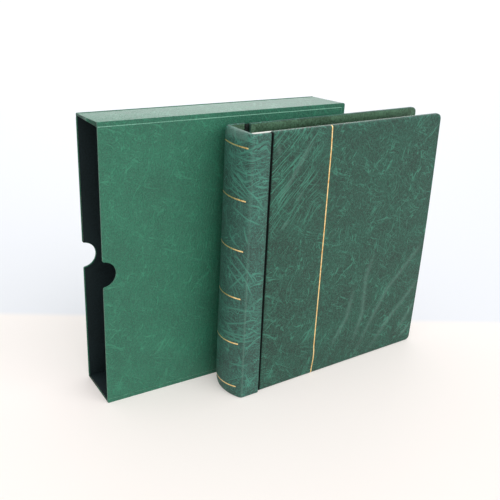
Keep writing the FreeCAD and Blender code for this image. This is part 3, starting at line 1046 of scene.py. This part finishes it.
def leaf_linen_hinge(joint):
    """Linen tape from a guard across the hinge line onto its leaf."""
    hinge = (np.array(joint["pos_m"]) - np.array(ORIGIN)) / MM
    leaf_low, leaf_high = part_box(joint["child"])
    levels = np.linspace(leaf_low.z / MM, leaf_high.z / MM, LINEN_LEVELS)
    outer = [(hinge[0] + dx, hinge[1] - dy) for dx, dy in LINEN_STEPS]
    inner = [(x, y + LINEN_THICKNESS) for x, y in outer[::-1]]
    loop = outer + inner
    points = np.array([(x, y, z) for z in levels for x, y in loop])
    faces = tube_faces(len(loop), len(levels))
    made = mesh_object(joint["child"] + "_linen", points, faces, points[:, [0, 2]], [leaf_linen])
    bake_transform(made)


for joint in frame["joints"]:
    if joint["child"].startswith("leaf_"):
        leaf_linen_hinge(joint)


# Slipcase

CASE_EDGE = 1.1
CASE_INNER_EDGE = 0.35
OVERLAP_WIDTH = 5.3
OVERLAP_RAMP = 0.7
OVERLAP_STEP = 0.5
FRONT_RISE = 3.0
MOUTH_CORNER = 1.2
NOTCH_CORNER = 2.0
END_CORNER = 2.5
BAND_CORNER = 2.0
BAND_MOUTH_EDGE = 0.7
BACK_GRAIN_SHIFT = 400
BAND_GRAIN_SHIFT = 800
CLOSE = 1e-6


def bevelled(shape, edges, offset, segments):
    """Rounds some edges of a slipcase piece."""
    bmesh.ops.bevel(
        shape, geom=edges, offset=offset, offset_type="OFFSET", segments=segments, profile=0.5,
        affect="EDGES", clamp_overlap=True)


def extruded(shape, face, far_y):
    """Carries a face along y and turns all faces outwards."""
    grown = bmesh.ops.extrude_face_region(shape, geom=[face])
    for item in grown["geom"]:
        if isinstance(item, bmesh.types.BMVert):
            item.co.y = far_y
    bmesh.ops.recalc_face_normals(shape, faces=shape.faces[:])


def edges_at(shape, y):
    return [e for e in shape.edges if all(abs(v.co.y - y) < CLOSE for v in e.verts)]


def case_object(name, shape, uv_of, materials, replaced):
    """Finished slipcase piece from a bmesh in the slipcase's own millimetres."""
    shape.normal_update()
    layer = shape.loops.layers.uv.new("skin")
    for face in shape.faces:
        face.smooth = face.material_index == 0
        for corner in face.loops:
            corner[layer].uv = uv_of(corner.vert.co, face.normal)
    mesh = bpy.data.meshes.new(name)
    points = np.array([vertex.co for vertex in shape.verts])
    placed = to_frame(case_to_album(points))
    for vertex, place in zip(shape.verts, placed):
        vertex.co = place
    shape.to_mesh(mesh)
    shape.free()
    for material in materials:
        mesh.materials.append(material)
    made = bpy.data.objects.new(name, mesh)
    bpy.context.scene.collection.objects.link(made)
    sharpen = made.modifiers.new("even_faces", "WEIGHTED_NORMAL")
    sharpen.keep_sharp = True
    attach(made, "slipcase")
    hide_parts(replaced)


def sink_overlap(shape, outer_y, inner_y, top):
    """Lowers the margin where the band's leatherette laps onto the panel, which leaves a step whose ramp gets a
    paler leatherette as a painted highlight.
    """
    inward = math.copysign(OVERLAP_STEP, inner_y - outer_y)
    far_z = top - OVERLAP_WIDTH
    far_x = CASE_LENGTH - OVERLAP_WIDTH

    def margin(x, z):
        return max(z - far_z, OVERLAP_WIDTH - z, x - far_x)

    sides = (((0, 0, far_z), (0, 0, 1)), ((0, 0, OVERLAP_WIDTH), (0, 0, -1)), ((far_x, 0, 0), (1, 0, 0)))
    for place, normal in sides:
        for gap in (0, OVERLAP_RAMP):
            cut = Vector(place) + Vector(normal) * gap
            geometry = shape.verts[:] + shape.edges[:] + shape.faces[:]
            bmesh.ops.bisect_plane(shape, geom=geometry, plane_co=cut, plane_no=normal, dist=1e-4)
    for vertex in shape.verts:
        x, y, z = vertex.co
        if margin(x, z) > OVERLAP_RAMP - 1e-3 and abs(y - outer_y) < CASE_EDGE:
            vertex.co.y += inward
    shape.normal_update()
    for face in shape.faces:
        x, y, z = face.calc_center_median()
        on_outside = abs(y - outer_y) < CASE_EDGE and abs(face.normal.y) > 0.3
        if on_outside and 0 < margin(x, z) < OVERLAP_RAMP:
            # Ramp faces take the paler leatherette: a painted highlight along the step.
            face.material_index = 1


def side_panel(name, outer_y, inner_y, top, replaced):
    """Covered side panel with a thumb notch at the middle of its mouth edge."""
    middle = CASE_HEIGHT / 2
    turns = [math.radians(angle) for angle in range(-90, 91, 6)]
    notch = [(NOTCH_RADIUS * math.cos(t), middle - NOTCH_RADIUS * math.sin(t)) for t in turns]
    outline = [(0, top), *notch, (0, 0), (CASE_LENGTH, 0), (CASE_LENGTH, top)]
    shape = bmesh.new()
    verts = [shape.verts.new((x, outer_y, z)) for x, z in outline]
    shape.faces.new(verts)
    last = len(notch)
    corners = [verts[0], verts[1], *verts[last:last + 4]]
    radii = [MOUTH_CORNER, NOTCH_CORNER, NOTCH_CORNER, MOUTH_CORNER, END_CORNER, END_CORNER]
    for corner, radius in zip(corners, radii):
        bmesh.ops.bevel(
            shape, geom=[corner], offset=radius, offset_type="OFFSET", segments=5, profile=0.5,
            affect="VERTICES")
    extruded(shape, shape.faces[:][0], inner_y)
    bevelled(shape, edges_at(shape, outer_y), CASE_EDGE, 4)
    bevelled(shape, edges_at(shape, inner_y), CASE_INNER_EDGE, 2)
    sink_overlap(shape, outer_y, inner_y, top)
    shift = 0 if outer_y == 0 else BACK_GRAIN_SHIFT

    def uv_of(place, normal):
        depth = abs(place.y - outer_y)
        return place.x + shift + normal.x * depth, place.z + normal.z * depth

    case_object(name, shape, uv_of, [case_leather, case_step_highlight], replaced)


def case_band(name, replaced):
    """Covered band over the slipcase's top, closed end and bottom."""
    end = CASE_LENGTH - CASE_BAND_RECESS
    low = CASE_BAND_RECESS
    high = CASE_HEIGHT - CASE_BAND_RECESS
    outline = [
        (0, low), (end, low), (end, high), (0, high), (0, high - CASE_WALL),
        (end - CASE_WALL, high - CASE_WALL), (end - CASE_WALL, low + CASE_WALL), (0, low + CASE_WALL)]
    shape = bmesh.new()
    face = shape.faces.new([shape.verts.new((x, CASE_WALL, z)) for x, z in outline])
    extruded(shape, face, CASE_DEPTH - CASE_WALL)

    def edges_across():
        return [e for e in shape.edges if abs(e.verts[0].co.y - e.verts[1].co.y) > 1]

    def at(edge, x, z):
        return abs(edge.verts[0].co.x - x) < CLOSE and abs(edge.verts[0].co.z - z) < CLOSE

    corners = [e for e in edges_across() if at(e, end, low) or at(e, end, high)]
    bevelled(shape, corners, BAND_CORNER, 5)
    mouth = [e for e in edges_across() if all(abs(v.co.x) < CLOSE for v in e.verts)]
    bevelled(shape, mouth, BAND_MOUTH_EDGE, 3)
    for vertex in shape.verts:
        if vertex.co.z > high - CASE_WALL / 2:
            vertex.co.z += FRONT_RISE * (1 - vertex.co.y / CASE_DEPTH)

    def uv_of(place, normal):
        if abs(normal.z) > 0.7:
            return place.x + BAND_GRAIN_SHIFT, place.y
        return place.y + BAND_GRAIN_SHIFT, place.z

    case_object(name, shape, uv_of, [case_leather], replaced)


side_panel("case_front_skin", 0, CASE_WALL, CASE_HEIGHT + FRONT_RISE, "case_front_leather")
side_panel("case_back_skin", CASE_DEPTH, CASE_DEPTH - CASE_WALL, CASE_HEIGHT, "case_back_leather")
case_band("case_band_skin", "case_band_leather")


# Floor, light and camera

FLOOR_REACH = 12.0
FLOOR_GLOW = 0.34
WORLD_LEVEL = 0.64
WALL_LINE = (Vector((-182.1, 342.6, 0)), Vector((433.9, -32.7, 0)))
CAMERA_PLACE = (-399.98, -576.87, 478.13)
CAMERA_TURN = (34.93, 22.34, 2.72)
CAMERA_LENS = 50.76


def floor_finish():
    """Pale table, a little cooler beyond the line where the wall begins."""
    finish = Finish(
        "floor", {"Roughness": 0.65, "Specular IOR Level": 0.2, "Emission Strength": FLOOR_GLOW})
    start, end = (Vector(frame_point(*point)) / MM for point in WALL_LINE)
    run = (end - start).normalized()
    across = Vector((-run.y, run.x, 0))
    x, y, _ = finish.parts(finish.solid())
    beyond = x * across.x + y * across.y - start.dot(across)
    tone = finish.noise(finish.solid(), 300.0, 2.0, flat=False)
    table = finish.mix(srgb(208, 203, 199), srgb(211, 206, 203), tone)
    behind = finish.ramp(beyond, -6.0, 14.0)
    finish.feed("Base Color", finish.mix(table, srgb(194, 196, 200), behind))
    glow = finish.mix(srgb(250, 244, 240), srgb(238, 241, 246), behind)
    finish.feed("Emission Color", finish.mix(srgb(0, 0, 0), glow, finish.in_sight()))
    return finish.material


def make_floor():
    mesh = bpy.data.meshes.new("floor")
    corners = [(x * FLOOR_REACH, y * FLOOR_REACH, 0) for x, y in ((-1, -1), (1, -1), (1, 1), (-1, 1))]
    mesh.from_pydata(corners, [], [(0, 1, 2, 3)])
    mesh.materials.append(floor_finish())
    made = bpy.data.objects.new("floor", mesh)
    bpy.context.scene.collection.objects.link(made)


def soft_sun(name, towards, angle, strength, sheen_only=False):
    """Even light from one side of the sky, as broad as its angle in degrees."""
    lamp = bpy.data.lights.new(name, "SUN")
    lamp.angle = math.radians(angle)
    lamp.energy = strength
    made = bpy.data.objects.new(name, lamp)
    made.rotation_mode = "QUATERNION"
    made.rotation_quaternion = Vector(towards).to_track_quat("Z", "Y")
    made.visible_diffuse = not sheen_only
    bpy.context.scene.collection.objects.link(made)


def make_light():
    world = bpy.data.worlds.new("studio")
    world.use_nodes = True
    tree = world.node_tree
    sky = Nodes(tree)
    colour = sky.mix((WORLD_LEVEL, WORLD_LEVEL, WORLD_LEVEL, 1), srgb(248, 247, 250), sky.in_sight())
    tree.links.new(colour.socket, tree.nodes["Background"].inputs["Color"])
    bpy.context.scene.world = world
    soft_sun("front_softbox", (0.25, -1.0, 0.8), 60, 1.25)
    soft_sun("top_softbox", (-0.1, -0.2, 1.0), 110, 0.85)
    soft_sun("back_softbox", (0.5, 0.8, 0.5), 50, 1.1, sheen_only=True)


def make_camera():
    """Camera solved from the album's and slipcase's corners in the photograph."""
    yaw, pitch, roll = (math.radians(angle) for angle in CAMERA_TURN)
    flat = math.cos(pitch)
    ahead = Vector((math.sin(yaw) * flat, math.cos(yaw) * flat, -math.sin(pitch)))
    level = Vector((math.cos(yaw), -math.sin(yaw), 0))
    upright = level.cross(ahead)
    right = level * math.cos(roll) + upright * math.sin(roll)
    above = upright * math.cos(roll) - level * math.sin(roll)
    lens = bpy.data.cameras.new("camera")
    lens.lens = CAMERA_LENS
    lens.clip_start = 0.05
    made = bpy.data.objects.new("camera", lens)
    turn = Matrix((right, above, -ahead)).transposed()
    made.matrix_world = Matrix.Translation(frame_point(*CAMERA_PLACE)) @ turn.to_4x4()
    bpy.context.scene.collection.objects.link(made)
    bpy.context.scene.camera = made


make_floor()
make_light()
make_camera()
bpy.context.scene.view_settings.view_transform = "Standard"
